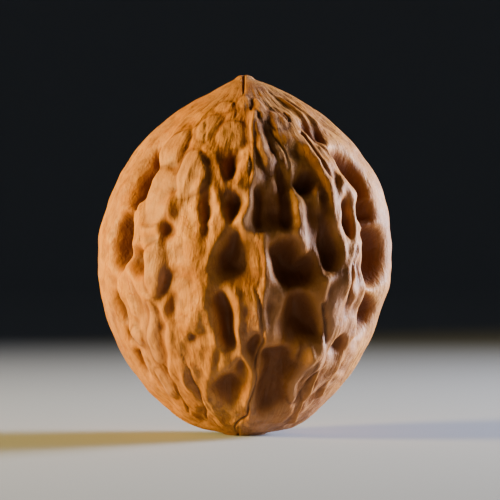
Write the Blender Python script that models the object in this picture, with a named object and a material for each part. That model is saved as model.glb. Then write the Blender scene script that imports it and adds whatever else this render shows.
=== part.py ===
"""A whole walnut in its shell, standing on its base with the tip up.

The shell is one closed solid. A meridian is worked out from the driving dimensions, spun round the
upright axis, and every point is then pushed in or out along its normal: out on the two seam ridges
at -X and +X and on the small pads, in at the hollows of the front (-Y) and back (+Y) faces. At the end
its shoulders are lowered a little and its sides drawn in. The foot is a small flat disc.

Turns are degrees round the axis, seen from above: 0 faces -Y, 90 faces +X, 180 faces +Y.
Heights are above the flat foot. Lengths are in millimetres, and MM makes them metres.
"""

import math
from collections import namedtuple

import bmesh
import bpy
import numpy as np

MM = 0.001

# Driving dimensions
HEIGHT = 42.0  # foot to tip
WIDTH = 34.4  # across the seam ridges, along X
THICKNESS = 33.0  # across the two faces, along Y
WAIST_HEIGHT = 21.0  # where the shell is widest
FOOT_RADIUS = 2.4  # the flat disc that it stands on

# Shape of the meridian
LOWER_FULLNESS = 0.54
UPPER_SQUARENESS = 2.5
UPPER_FULLNESS = 0.8
SHOULDER_TOP = 41.6  # where the upper body would close without its beak
BEAK_RADIUS = 1.35
BEAK_FOOT = 40.6
CREASE = 4  # power of the rounded join between the body, the beak and the foot

# Seam ridges
RIDGE_RISE = 0.5
RIDGE_HALF_WIDTH = 2.6
BODY_RADIUS = WIDTH / 2 - RIDGE_RISE
FLATNESS = THICKNESS / 2 / BODY_RADIUS  # depth of the body over its width

# Relief
WALL_START = 0.1  # share of a hollow's half width that is its floor
WALL_END = 1.4
EVEN_FOOT_HEIGHT = 1.6  # the relief fades out below this, so that the foot stays flat

# Settling: the finished shell sags on its shoulders and is drawn in at its sides
SHOULDER_SLUMP = 0.62
LEFT_SLUMP = 0.22  # more on the left shoulder, less on the right
SLUMP_HEIGHTS = (21.0, 35.0)  # none below the first, all of it above the second
SLUMP_RADII = (1.0, 4.5)  # none within the first, so that the tip keeps its height
LEFT_TRIM = 0.6
LEFT_TRIM_HEIGHTS = (22.5, 27.0, 30.0, 38.0)  # rises between the first two, fades between the others
RIGHT_TRIM = 0.5
RIGHT_TRIM_HEIGHTS = (1.0, 5.0, 14.0, 18.0)
TRIM_START = 0.3  # how far round to the side a trim begins, from 0 at the front to 1 at the seam

# Mesh
MERIDIANS = 104
ROWS = 60
FINE_ROWS = 2000

SHELL_COLOUR = (0.56, 0.31, 0.13, 1.0)
SHELL_ROUGHNESS = 0.55

Hollow = namedtuple("Hollow", "turn height half_width half_length depth lean")

# Lean tips the top of a hollow towards a larger turn, in degrees. A pad is a hollow of negative depth.
FRONT_RIM_HOLLOWS = [
    Hollow(-52, 33.4, 1.1, 1.8, 0.8, 20),
    Hollow(-57, 29.7, 1.8, 3.0, 1.8, 8),
    Hollow(-59, 24.0, 1.9, 2.1, 1.6, 0),
    Hollow(-61, 20.3, 1.7, 1.4, 0.9, 0),
    Hollow(-63, 15.0, 1.5, 2.1, 0.8, 0),
    Hollow(-63, 10.4, 1.4, 1.9, 0.7, 0),
    Hollow(47, 36.0, 1.1, 2.4, 0.9, -10),
    Hollow(60, 31.0, 2.4, 2.9, 2.1, -14),
    Hollow(60, 26.3, 2.0, 1.9, 1.8, 0),
    Hollow(65, 20.8, 2.3, 3.4, 2.0, 0),
    Hollow(64, 14.0, 1.8, 2.2, 1.3, 0),
    Hollow(60, 9.4, 1.5, 1.5, 0.5, 0),
]
FRONT_FACE_HOLLOWS = [
    Hollow(-5, 31.4, 1.3, 1.8, 0.7, 0),
    Hollow(-5, 26.6, 1.4, 2.0, 0.8, 0),
    Hollow(-15, 26.9, 1.2, 1.8, 0.7, 8),
    Hollow(-6, 21.1, 2.2, 3.2, 1.7, 10),
    Hollow(-9, 13.5, 1.7, 3.2, 1.4, -14),
    Hollow(-10, 5.8, 2.0, 2.0, 0.9, 0),
    Hollow(-32, 23.6, 1.2, 1.5, 0.6, 0),
    Hollow(-47, 20.1, 1.5, 1.4, 0.6, 0),
    Hollow(-31, 16.8, 1.3, 2.2, 0.5, -12),
    Hollow(-52, 13.2, 1.5, 1.9, 0.5, 0),
    Hollow(14, 27.2, 2.5, 3.5, 1.1, 0),
    Hollow(13, 32.0, 1.4, 2.0, 0.6, 0),
    Hollow(21, 20.2, 3.2, 3.3, 2.0, 0),
    Hollow(26, 13.5, 2.6, 3.1, 1.9, 6),
    Hollow(15, 6.9, 2.2, 3.2, 1.0, 0),
    Hollow(28, 29.5, 2.0, 1.8, 1.0, 0),
    Hollow(37, 22.6, 1.5, 3.4, 1.3, -4),
    Hollow(45, 26.4, 1.4, 2.4, 1.0, -6),
    Hollow(50, 18.6, 1.3, 1.6, 0.6, 0),
    Hollow(49, 11.1, 1.5, 1.4, 0.6, 0),
    Hollow(35, 6.4, 1.5, 1.8, 0.6, 12),
    Hollow(-37, 28.1, 2.7, 3.0, -0.45, 0),
    Hollow(-20, 30.9, 2.1, 2.3, -0.4, 0),
    Hollow(-39, 18.9, 1.7, 2.5, -0.4, 0),
]
BACK_RIM_HOLLOWS = [
    Hollow(119, 32.6, 1.5, 2.2, 1.3, 12),
    Hollow(117, 27.2, 1.9, 2.4, 1.8, 6),
    Hollow(116, 22.0, 1.9, 1.9, 1.5, 0),
    Hollow(117, 17.2, 1.7, 2.0, 1.2, 0),
    Hollow(118, 12.2, 1.6, 1.8, 1.0, -6),
    Hollow(121, 8.0, 1.4, 1.4, 0.6, -12),
    Hollow(-120, 34.0, 1.4, 1.8, 1.0, -18),
    Hollow(-118, 29.3, 2.0, 2.2, 1.8, -8),
    Hollow(-115, 24.0, 2.0, 2.3, 1.8, 0),
    Hollow(-116, 18.2, 1.9, 2.6, 1.6, 0),
    Hollow(-118, 12.8, 1.6, 1.8, 1.0, 6),
    Hollow(-120, 8.8, 1.3, 1.4, 0.6, 10),
]
BACK_FACE_HOLLOWS = [
    Hollow(188, 30.6, 1.5, 2.3, 0.9, 4),
    Hollow(170, 27.0, 2.1, 2.8, 1.4, -6),
    Hollow(189, 23.6, 1.9, 3.0, 1.6, 8),
    Hollow(171, 18.9, 2.0, 3.2, 1.7, 0),
    Hollow(189, 14.4, 2.2, 2.9, 1.5, -8),
    Hollow(172, 9.6, 1.9, 2.5, 1.1, 6),
    Hollow(190, 5.8, 1.7, 1.9, 0.8, 0),
    Hollow(155, 31.2, 1.4, 2.0, 0.8, -10),
    Hollow(151, 24.2, 1.6, 2.6, 1.2, -4),
    Hollow(154, 16.0, 1.6, 2.6, 1.1, 6),
    Hollow(137, 28.4, 1.4, 1.9, 0.8, -8),
    Hollow(136, 20.4, 1.4, 2.1, 0.8, 0),
    Hollow(140, 12.4, 1.4, 1.8, 0.7, 8),
    Hollow(205, 29.0, 1.6, 2.1, 1.0, 8),
    Hollow(208, 20.0, 1.7, 2.8, 1.4, 0),
    Hollow(206, 11.2, 1.6, 2.1, 0.9, -8),
    Hollow(224, 25.6, 1.4, 2.0, 0.8, 4),
    Hollow(222, 16.2, 1.4, 2.0, 0.8, -4),
]
TIP_FOLDS = [
    Hollow(turn, 37.6, 0.8, 2.6, 0.35, 0)
    for turn in (-36, -18, 2, 20, 134, 152, 170, 190, 208, 226)
]
HOLLOWS = (
    FRONT_RIM_HOLLOWS
    + FRONT_FACE_HOLLOWS
    + BACK_RIM_HOLLOWS
    + BACK_FACE_HOLLOWS
    + TIP_FOLDS
)


def clear_scene():
    for old in list(bpy.data.objects):
        bpy.data.objects.remove(old)


def smooth_rise(low, high, value):
    """0 below low, 1 above high, with an even slope at both ends."""
    share = np.clip((value - low) / (high - low), 0.0, 1.0)
    return share * share * (3.0 - 2.0 * share)


def outline_radius(height):
    """Half width of the turned body at a height: a full ellipse below the waist, a pointed one above
    it, and the beak and the foot joined on with a rounded crease."""
    below = np.clip((WAIST_HEIGHT - height) / WAIST_HEIGHT, 0.0, 1.0)
    above = np.clip((height - WAIST_HEIGHT) / (SHOULDER_TOP - WAIST_HEIGHT), 0.0, 1.0)
    lower = (1 - below**2) ** LOWER_FULLNESS
    upper = (1 - above**UPPER_SQUARENESS) ** UPPER_FULLNESS
    body = BODY_RADIUS * np.where(height < WAIST_HEIGHT, lower, upper)
    up_beak = np.clip((height - BEAK_FOOT) / (HEIGHT - BEAK_FOOT), 0.0, 1.0)
    beak = BEAK_RADIUS * np.sqrt(1 - up_beak**3)
    beak *= smooth_rise(WAIST_HEIGHT, BEAK_FOOT, height)
    foot = FOOT_RADIUS * (1 - smooth_rise(0, WAIST_HEIGHT, height))
    return (body**CREASE + beak**CREASE + foot**CREASE) ** (1 / CREASE)


def outline():
    """Radius and height of ROWS points from the foot's edge to the tip, spaced evenly on the outline."""
    fine_height = HEIGHT / 2 * (1 - np.cos(np.linspace(0, math.pi, FINE_ROWS)))
    fine_radius = outline_radius(fine_height)
    steps = np.hypot(np.diff(fine_radius), np.diff(fine_height))
    along = np.concatenate([[0.0], np.cumsum(steps)])
    wanted = np.linspace(0, along[-1], ROWS)
    return np.interp(wanted, along, fine_radius), np.interp(wanted, along, fine_height)


def turned_shell():
    """The outline spun round Z, closed by a flat foot below and a point above."""
    shell = bmesh.new()
    meridian = [shell.verts.new((0, -r * MM, h * MM)) for r, h in zip(*outline())]
    edges = [shell.edges.new(pair) for pair in zip(meridian, meridian[1:])]
    bmesh.ops.spin(
        shell,
        geom=meridian + edges,
        cent=(0, 0, 0),
        axis=(0, 0, 1),
        angle=2 * math.pi,
        steps=MERIDIANS,
        use_merge=True,
    )
    bmesh.ops.remove_doubles(shell, verts=shell.verts, dist=0.001 * MM)
    foot_edges = [edge for edge in shell.edges if edge.is_boundary]
    bmesh.ops.contextual_create(shell, geom=foot_edges)
    for edge in foot_edges:
        edge.smooth = False
    for vert in shell.verts:
        vert.co.y *= FLATNESS
    bmesh.ops.recalc_face_normals(shell, faces=shell.faces)
    shell.normal_update()
    return shell


def body_point(turn, height):
    """The point of the turned body at a turn in degrees and a height."""
    radius = float(outline_radius(np.array(height)))
    angle = math.radians(turn)
    return np.array([radius * math.sin(angle), -radius * math.cos(angle) * FLATNESS, height])


def hollow_frame(hollow):
    """The centre of a hollow on the turned body, and unit vectors across it, along it and outwards."""
    centre = body_point(hollow.turn, hollow.height)
    across = body_point(hollow.turn + 0.5, hollow.height) - centre
    up = body_point(hollow.turn, hollow.height + 0.1) - centre
    across /= np.linalg.norm(across)
    up /= np.linalg.norm(up)
    lean = math.radians(hollow.lean)
    side = across * math.cos(lean) - up * math.sin(lean)
    along = across * math.sin(lean) + up * math.cos(lean)
    return centre, side, along, np.cross(across, up)


def hollow_depths(points):
    """How far each point is pushed in. A hollow has a floor and a smooth wall, and overlapping hollows
    blend without adding up, as their depths are joined as cubes."""
    cubes = np.zeros(len(points))
    for hollow in HOLLOWS:
        centre, side, along, outwards = hollow_frame(hollow)
        away = points - centre
        reach = np.sqrt(
            (away @ side / hollow.half_width) ** 2
            + (away @ along / hollow.half_length) ** 2
            + (away @ outwards / (2 * hollow.half_length)) ** 2
        )
        cubes += (hollow.depth * (1 - smooth_rise(WALL_START, WALL_END, reach))) ** 3
    return np.cbrt(cubes)


def ridge_rises(points):
    """How far each point stands out on the seam ridges, which lie in the XZ plane."""
    return RIDGE_RISE * np.exp(-((points[:, 1] / RIDGE_HALF_WIDTH) ** 2))


def band(heights, value):
    """0 up to the first height, 1 between the second and the third, and 0 past the fourth."""
    rise_low, rise_high, fall_low, fall_high = heights
    return smooth_rise(rise_low, rise_high, value) * (1 - smooth_rise(fall_low, fall_high, value))


def settled(points):
    """The points with the shoulders lowered, and drawn in high on the left and low on the right."""
    moved = points.copy()
    height = points[:, 2]
    radius = np.hypot(points[:, 0], points[:, 1])
    left = -points[:, 0] / np.maximum(radius, MM)
    drop = smooth_rise(*SLUMP_RADII, radius) * smooth_rise(*SLUMP_HEIGHTS, height)
    moved[:, 2] -= (SHOULDER_SLUMP + LEFT_SLUMP * left) * drop
    moved[:, 0] += LEFT_TRIM * band(LEFT_TRIM_HEIGHTS, height) * smooth_rise(TRIM_START, 1.0, left)
    moved[:, 0] -= RIGHT_TRIM * band(RIGHT_TRIM_HEIGHTS, height) * smooth_rise(TRIM_START, 1.0, -left)
    return moved


def shape_relief(shell):
    """Pushes every point along its normal by the ridges less the hollows, and leaves the foot flat."""
    points = np.array([vert.co for vert in shell.verts]) / MM
    normals = np.array([vert.normal for vert in shell.verts])
    push = ridge_rises(points) - hollow_depths(points)
    push *= smooth_rise(0.0, EVEN_FOOT_HEIGHT, points[:, 2])
    push *= 1 - smooth_rise(BEAK_FOOT, HEIGHT, points[:, 2])
    moved = settled(points + normals * push[:, None]) * MM
    for vert, place in zip(shell.verts, moved):
        vert.co = place


def shell_material():
    material = bpy.data.materials.new("walnut_shell")
    material.use_nodes = True
    surface = material.node_tree.nodes["Principled BSDF"]
    surface.inputs["Base Color"].default_value = SHELL_COLOUR
    surface.inputs["Roughness"].default_value = SHELL_ROUGHNESS
    surface.inputs["Metallic"].default_value = 0.0
    return material


def add_shell():
    shell = turned_shell()
    shape_relief(shell)
    for face in shell.faces:
        face.smooth = True
    mesh = bpy.data.meshes.new("walnut_shell")
    shell.to_mesh(mesh)
    shell.free()
    mesh.materials.append(shell_material())
    walnut = bpy.data.objects.new("walnut_shell", mesh)
    bpy.context.scene.collection.objects.link(walnut)


clear_scene()
add_shell()
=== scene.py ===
import itertools
import math

import bpy
import numpy as np
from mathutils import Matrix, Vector


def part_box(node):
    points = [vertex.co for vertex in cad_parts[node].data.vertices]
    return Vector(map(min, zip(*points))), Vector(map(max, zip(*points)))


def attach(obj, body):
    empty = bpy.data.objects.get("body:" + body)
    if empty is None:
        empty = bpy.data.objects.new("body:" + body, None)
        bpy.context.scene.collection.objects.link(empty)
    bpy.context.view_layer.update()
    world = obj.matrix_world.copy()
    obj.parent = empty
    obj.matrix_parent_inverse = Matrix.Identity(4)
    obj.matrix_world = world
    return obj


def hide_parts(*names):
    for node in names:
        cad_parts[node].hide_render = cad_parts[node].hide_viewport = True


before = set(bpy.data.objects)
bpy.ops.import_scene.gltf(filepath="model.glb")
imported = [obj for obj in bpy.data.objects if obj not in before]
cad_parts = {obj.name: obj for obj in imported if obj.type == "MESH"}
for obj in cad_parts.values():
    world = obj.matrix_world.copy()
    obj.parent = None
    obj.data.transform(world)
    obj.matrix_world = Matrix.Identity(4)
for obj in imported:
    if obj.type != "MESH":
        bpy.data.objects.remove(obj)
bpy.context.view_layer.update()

mm = 0.001
nodeName = "walnut_shell"
boxLow, boxHigh = (np.array(corner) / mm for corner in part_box(nodeName))  # lengths are in mm from here on


# Noise and easing

noiseRandom = np.random.default_rng(41)
noiseOrder = noiseRandom.permutation(256)
noiseSlopes = noiseRandom.normal(size=(256, 3))
noiseSlopes /= np.linalg.norm(noiseSlopes, axis=1)[:, None]
noiseSpots = noiseRandom.uniform(0.1, 0.9, size=(256, 3))


# 0 below low, 1 above high, and an S-shaped cubic between them
def smoothStep(low, high, value):
    share = np.clip((value - low) / (high - low), 0.0, 1.0)
    return share * share * (3.0 - 2.0 * share)


# 0 outside the first and last of four heights, 1 between the middle two, and S-curves between them
def band(heights, value):
    return smoothStep(*heights[:2], value) * (1 - smoothStep(*heights[2:], value))


# 1 at distance 0, falling as a bell curve to both sides; a higher power gives it a flatter top
def bell(distance, halfWidth, power=2):
    return np.exp(-(np.abs(distance / halfWidth) ** power))


# a number from 0 to 255 for each whole-number cell, by looking its corners up in a shuffled list
def cellNumber(cell):
    first = noiseOrder[cell[:, 0] & 255]
    second = noiseOrder[(first + cell[:, 1]) & 255]
    return noiseOrder[(second + cell[:, 2]) & 255]


# gradient noise from about -1 to 1: each corner of a point's cell has a random slope, and the eight
# slopes' heights are blended by a quintic weight
def gradientNoise(points, size, shift=0.0):
    scaled = points / size + shift
    cell = np.floor(scaled).astype(int)
    inside = scaled - cell
    ease = inside**3 * (inside * (inside * 6 - 15) + 10)
    total = np.zeros(len(points))
    for corner in itertools.product((0, 1), repeat=3):
        slope = noiseSlopes[cellNumber(cell + corner)]
        weight = np.prod(np.where(corner, ease, 1 - ease), axis=1)
        total += weight * np.sum(slope * (inside - corner), axis=1)
    return total * 1.7


# distances from each point to the nearest and the second nearest of one random spot per cell
def cellDistances(points, size, shift=0.0):
    scaled = points / size + shift
    cell = np.floor(scaled).astype(int)
    nearest = np.full(len(points), 9.0)
    second = np.full(len(points), 9.0)
    for step in itertools.product((-1, 0, 1), repeat=3):
        neighbour = cell + step
        spot = neighbour + noiseSpots[cellNumber(neighbour)]
        distance = np.linalg.norm(scaled - spot, axis=1)
        second = np.minimum(second, np.maximum(nearest, distance))
        nearest = np.minimum(nearest, distance)
    return nearest, second


# Shell

shell = {
    "columns": 440,
    "rows": 216,
    "crowding": 0.25,  # how much closer the columns stand at the front than at the sides
    "footRadius": 2.4,
    "waistHeight": 21.0,
    "lowerFullness": 0.54,
    "upperSquareness": 2.5,
    "upperFullness": 0.8,
    "shoulderDrop": 0.4,  # how far under the tip the body alone would close
    "beakRadius": 1.35,
    "beakHeight": 1.4,
    "joinPower": 4,  # the higher, the tighter the corner where the beak and the foot join the body
    "rimRise": 0.5,
    "rimHalfWidth": 2.9,
    "ribRise": 0.04,  # fine ribs along the rims
    "seam": (0.22, 0.22),  # half width and depth of the groove along the rims' crest
    "sag": 0.55,  # how far the ground sinks towards the hollows round it
    "valley": 0.34,  # how deep the middle of the front lies below its two cheeks
    "warp": ((3.0, 0.26), (1.2, 0.08)),  # size and reach of the wander of every mark
    "backWander": 1.6,  # how much more the marks wander at the back
    "wrinkle": 0.21,
    "swell": ((7.0, 0.26), (3.0, 0.30), (1.5, 0.14)),  # size and rise, as for the grain
    "grain": ((1.1, 0.035), (0.55, 0.012)),
    "plateSize": 3.4,  # the plates near the tip
    "crackDepth": 0.025,
    "foldDepth": 0.05,
    "folds": (-72, -62, -52, -43, -29, -14, 13, 24, 33, 45, 53, 63, 73, 107, 118, 130, 142, 155, 166,
              193, 204, 216, 229, 241, 252),  # turns at which a shallow fold runs down from the tip
    "footGroove": (-0.75, 0.14, 0.22),  # how far right it lies, its half width and its depth
    "tipCleft": (-0.08, 0.12, 0.34),
    "slump": 0.62,  # how far the finished shell sags on its shoulders
    "leftSlump": 0.22,  # more on the left shoulder, less on the right
    "slumpHeights": (21.0, 35.0),
    "slumpRadii": (1.0, 4.5),  # none within the first, so that the tip keeps its height
    "leftTrim": 0.6,  # how far the side is drawn in, high on the left
    "leftTrimHeights": (22.5, 27.0, 30.0, 38.0),
    "rightTrim": 0.5,  # low on the right
    "rightTrimHeights": (1.0, 5.0, 14.0, 18.0),
}

# each hollow: depth, width of its wall, how crisp its edge is from 0 to 1, which way its floor rises
# gently (degrees, 0 to the right, 90 up; None for an even bowl), then the turn (0 faces -Y, 90 faces +X)
# and height of the points round its edge
hollows = {
    "rightRim": (
        (2.8, 0.5, 0.95, None, (48, 32.8), (51, 33.4), (57, 33.6), (64, 33), (69.5, 31.4), (71.6, 29.6),
         (70, 28.4), (64, 28.2), (59, 28.6), (55, 28.9), (51.6, 30), (49.6, 31.4)),
        (2.7, 0.5, 0.95, None, (58.6, 28), (64, 28.1), (70.4, 28), (73, 26.8), (74, 25.2), (68, 24.8),
         (60, 24.9), (54, 25.2), (51.6, 25.8), (52.6, 26.6), (55.4, 27.2)),
        (2.9, 0.5, 0.95, None, (62, 24.2), (70, 24.4), (77, 23.4), (79.5, 21.4), (79, 19), (74, 17.4),
         (65, 17.4), (59, 18.2), (56, 19.2), (56.2, 20.6), (55.6, 21.8), (57, 23.2)),
        (2.3, 0.5, 0.95, None, (58, 15.9), (62, 16.3), (70, 16.2), (78, 15), (78, 13), (70, 12), (63, 12),
         (61, 12.8), (60, 13.8), (58.4, 14.8)),
    ),
    "rightCheek": (
        (1.15, 1.0, 0.4, 60, (39, 37), (40.5, 35.7), (43, 34.8), (48, 34.4), (55, 35), (59, 35.8),
         (53, 36.4), (51, 37.8), (47, 37.2), (43, 36.8)),
        (0.4, 2.4, 0.1, None, (62, 35.5), (62, 37.5), (70, 37.8), (78, 37), (76, 35.4), (68, 35)),
        (2.2, 1.1, 0.5, 180, (44, 28), (45, 27.2), (46.5, 26), (48.2, 25), (47.5, 24), (46.2, 22.8),
         (43, 23.7), (40, 24.4), (41, 25.4), (42, 26.8)),
        (2.6, 1.2, 0.2, 180, (30, 26.8), (33.5, 26.4), (36, 25), (38.3, 23.5), (39.8, 21.8), (38.6, 20),
         (36, 19), (33, 18.5), (31, 19.6), (29.4, 22), (28.6, 24.5)),
        (1.7, 1.6, 0.2, None, (21, 30), (24, 30.4), (27, 31.2), (30, 31.4), (33.5, 31), (34, 30),
         (32.5, 29), (30, 28.3), (26, 28.3), (22.5, 28.8)),
        (1.1, 1.1, 0.2, None, (33, 30.5), (36, 29.5), (36.6, 27.5), (36, 25.5), (34, 25.2), (33.3, 27.5)),
        (0.8, 1.0, 0.5, None, (47.3, 20.3), (49.5, 20.2), (51.8, 19.5), (52.6, 18.8), (51, 18), (49, 18.3),
         (47.3, 19.2)),
        (1.2, 1.1, 0.3, None, (45.6, 11.2), (50, 12), (53, 11.6), (54.6, 10.7), (52.5, 9.9), (48, 9.8),
         (45.6, 10.3)),
        (0.4, 1.1, 0.1, None, (50, 15.6), (53, 16.2), (55.4, 15.4), (55, 14.4), (51.5, 14.2)),
        (0.7, 1.4, 0.2, None, (30.6, 7.4), (34, 7.9), (36.8, 7), (37.8, 6.1), (36, 5.1), (33, 4.9),
         (30.8, 5.8)),
        (0.45, 0.8, 0.3, None, (30.6, 11.3), (34.6, 11.4), (34.6, 10.1), (31.2, 10)),
        (0.35, 0.6, 0.3, None, (45.3, 15.9), (47.4, 16), (47.6, 15.2), (45.6, 15)),
        (0.35, 0.6, 0.3, None, (44.8, 7.8), (46.8, 7.9), (47, 7), (45.2, 6.9)),
        (1.2, 2.4, 0.1, 180, (22.8, 27.6), (27, 28), (31, 27.4), (33, 24), (32, 21.6), (29.5, 20.8),
         (25, 21.3), (22.6, 23.4), (22.8, 25.6)),
    ),
    "middle": (
        (1.25, 1.5, 0.1, 90, (4, 28.4), (6.4, 29.4), (8.6, 30.4), (12, 31), (15.4, 31.4), (18.4, 30.6),
         (20, 28), (20.2, 26), (19.6, 24), (17, 23.3), (10, 23.4), (5, 23.8), (3.6, 24.8), (4, 26.5)),
        (1.8, 1.3, 0.1, None, (14.4, 29.5), (17.6, 29.8), (19.8, 28), (20, 25.6), (18.8, 23.9), (16.6, 24),
         (15, 25.4), (14.2, 27.5)),
        (1.4, 1.3, 0.2, None, (14, 31.4), (17.5, 31.4), (19.8, 30), (19.6, 28.6), (17, 28.4), (14, 29.6)),
        (1.5, 1.1, 0.1, None, (4, 28.6), (7.5, 28.8), (7.6, 26), (6.4, 23.8), (4.2, 24.4), (3.8, 26)),
        (3.1, 2.4, 0.1, None, (9.6, 21.8), (12, 22.7), (16, 23), (20, 22.9), (22.5, 22.2), (24.2, 21.2),
         (27, 21.3), (30, 21), (31.2, 19.6), (30.6, 18.2), (28, 17.3), (24, 17), (19, 16.9), (14.5, 17.6),
         (11.6, 18.8), (10, 20.4)),
        (3.0, 1.7, 0.2, 190, (17.5, 16.4), (22, 16.9), (27, 16.8), (29.4, 16), (31.4, 15), (33.6, 13.9),
         (35.4, 12.7), (34.6, 11.7), (31, 11.5), (27, 11), (23.5, 10.2), (18, 10.4), (14.4, 10.9),
         (12.6, 12), (14, 13.8), (15.6, 15.3)),
        (1.9, 1.7, 0.1, None, (8, 10), (14, 10.4), (20, 10.4), (24, 10), (26.5, 9), (28, 7.9), (27, 6.6),
         (28, 5.5), (30, 4.4), (27, 3.2), (18, 2.6), (10, 2.8), (7, 4.6), (7, 6.5), (8, 8.2)),
    ),
    "leftOfSeam": (
        (1.5, 1.3, 0.1, 0, (-12.8, 19.4), (-12.4, 20.8), (-9.5, 22.4), (-5.5, 23.8), (-1.5, 24.4),
         (2, 23.6), (5.4, 23), (6.6, 21.5), (6.4, 19), (5, 17.6), (0, 17.3), (-6, 17.4), (-10.5, 18)),
        (1.9, 1.6, 0.1, None, (-10.5, 21.5), (-6.5, 23), (-3, 23.2), (-1.5, 21.6), (-3, 19.8), (-7, 19),
         (-11, 19.8)),
        (2.1, 1.9, 0.1, 180, (-15.5, 16.3), (-12, 16.9), (-8.5, 17), (-6.5, 16), (-5, 14.6), (-4, 13),
         (-3.6, 11.4), (-4.5, 10.7), (-8, 10.6), (-10, 11.5), (-11, 13), (-12.3, 14.5)),
        (1.3, 2.2, 0.2, None, (-20, 5.6), (-17, 6.8), (-13, 7.6), (-7, 8), (-3, 9.3), (-0.5, 9), (0.5, 8),
         (0.5, 6.5), (-1, 5), (-4, 4), (-10, 3.4), (-16, 3.8)),
        (1.3, 1.9, 0.2, None, (-14, 6.6), (-8, 7), (-5, 5.8), (-9, 4.6), (-14, 5)),
        (0.8, 1.3, 0.1, None, (-5, 8.3), (-1.2, 9), (0.2, 7.8), (-1.5, 6.8), (-4.5, 7.2)),
        (1.2, 1.2, 0.4, None, (-0.5, 10.9), (3, 12), (7, 12.6), (8, 11.5), (7, 10), (5, 8.9), (2.5, 9.4),
         (0.5, 9.8)),
        (1.1, 1.6, 0.1, None, (-8, 32.6), (-5, 33.3), (-2, 33.2), (-2, 31.8), (-3.6, 30.8), (-5, 29.8),
         (-7, 30.2), (-8.6, 31.4)),
        (1.3, 1.5, 0.1, 130, (-11.5, 28), (-7, 28.7), (-2, 28.4), (-0.6, 27.2), (-1.6, 26), (-3.3, 25),
         (-5, 24.8), (-7, 25.5), (-9, 26.8)),
        (0.7, 1.0, 0.2, None, (-17.6, 27.6), (-15.6, 28.6), (-13.6, 28.2), (-12.8, 26.8), (-13, 25.4),
         (-13.6, 23.6), (-15, 22.6), (-16.2, 24), (-16.4, 25.8)),
        (0.5, 1.4, 0.1, None, (-15.8, 9.2), (-12.5, 10.8), (-10, 10.4), (-12.5, 8.6)),
        (0.35, 0.8, 0.2, None, (8.6, 16.9), (11.2, 17), (11.6, 15.2), (10.6, 13.6), (9.2, 14.5)),
    ),
    "leftCheek": (
        (1.3, 1.0, 0.6, None, (-35, 24.7), (-32.5, 25.5), (-30.8, 24.5), (-28.4, 23.6), (-29.3, 22.8),
         (-31.4, 23), (-32.2, 22), (-33.8, 22.3), (-34.4, 23.6)),
        (0.4, 1.3, 0.1, None, (-30, 26.2), (-25, 26.9), (-23, 25.6), (-24.5, 24.6), (-29, 24.8)),
        (1.6, 0.9, 0.4, None, (-52.5, 20.6), (-49, 21.5), (-45, 21.5), (-42.8, 20.4), (-43, 19),
         (-45.6, 18.5), (-48.6, 18.9), (-51, 19.6)),
        (0.6, 1.0, 0.4, None, (-35.8, 16.5), (-34.5, 17.8), (-32, 18.4), (-28, 19.3), (-25.3, 19.9),
         (-25, 18.8), (-28, 18), (-30, 17), (-32.5, 16.1), (-34.7, 15.7)),
        (0.8, 1.0, 0.3, None, (-31.4, 16.6), (-27.5, 16.6), (-28.3, 15.2), (-30, 14.4), (-31.4, 15.4)),
        (0.6, 0.7, 0.3, None, (-24.6, 12), (-22.2, 12.2), (-21.6, 11.4), (-23.2, 10.9), (-24.8, 11.2)),
        (0.45, 0.8, 0.2, None, (-27.8, 11.2), (-26, 11.3), (-25.8, 10.3), (-27.6, 10.1)),
        (0.35, 0.5, 0.3, None, (-22.3, 18.6), (-21.2, 18.5), (-20.3, 17.1), (-21.3, 17)),
        (0.5, 1.0, 0.2, None, (-51, 15), (-47, 15.8), (-45, 15.1), (-46.8, 13.8), (-50.4, 14)),
        (0.45, 0.6, 0.4, None, (-55.5, 13.5), (-52, 13.9), (-48.8, 13.2), (-52, 12.8)),
        (0.35, 1.0, 0.1, None, (-32, 12.6), (-29, 14.4), (-28, 13), (-30, 11.8)),
    ),
    "leftRim": (
        (3.1, 0.75, 0.85, None, (-62, 33.8), (-57.5, 34.4), (-53, 34), (-48.6, 32.6), (-46.6, 31),
         (-47.6, 29.4), (-50, 28), (-54, 27), (-58.6, 26.4), (-61.4, 27.2), (-62.4, 29.4), (-62.6, 31.6)),
        (3.0, 0.75, 0.85, None, (-64, 25.7), (-60, 26), (-56, 25.4), (-53.4, 24.4), (-52.2, 23),
         (-52.8, 21.4), (-54.8, 20.2), (-58, 19.5), (-63, 19.3), (-67, 20), (-68, 22), (-67, 24.4)),
        (0.9, 1.4, 0.3, 0, (-70, 19.2), (-60, 19.4), (-58, 18), (-60, 16.8), (-70, 16.8), (-73, 18)),
        (1.9, 0.8, 0.7, None, (-70, 16.4), (-66, 16.6), (-62, 15.9), (-60.4, 14.6), (-62, 13.4),
         (-66, 12.9), (-71, 13), (-72, 14.8)),
        (1.6, 0.7, 0.7, None, (-71, 12.3), (-66, 12.5), (-61.6, 12), (-60.8, 11), (-64, 10.2), (-70, 10.2),
         (-72.4, 11.2)),
        (1.4, 0.6, 0.7, None, (-71, 9.5), (-66, 9.7), (-61.4, 9.3), (-62.6, 8.2), (-67, 7.3), (-72, 7.4)),
    ),
    "backRims": (
        (1.4, 1.0, 0.6, None, (106, 34), (110, 34.8), (117, 34.2), (120, 32.6), (116, 31.2), (110, 31.6)),
        (2.4, 0.9, 0.8, None, (104, 29.8), (108, 30.6), (116, 30.4), (124, 29), (128, 27), (126, 24.8),
         (120, 24), (114, 25.4), (108, 26.6), (104, 28)),
        (1.6, 0.9, 0.7, None, (104, 23.2), (110, 23.8), (116, 22.8), (118, 21.2), (112, 20.4), (106, 21)),
        (2.2, 0.9, 0.8, None, (103, 18.8), (109, 19.2), (117, 19.6), (124, 18), (125, 15.4), (120, 13),
         (112, 12.6), (106, 14), (103, 16.4)),
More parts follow.
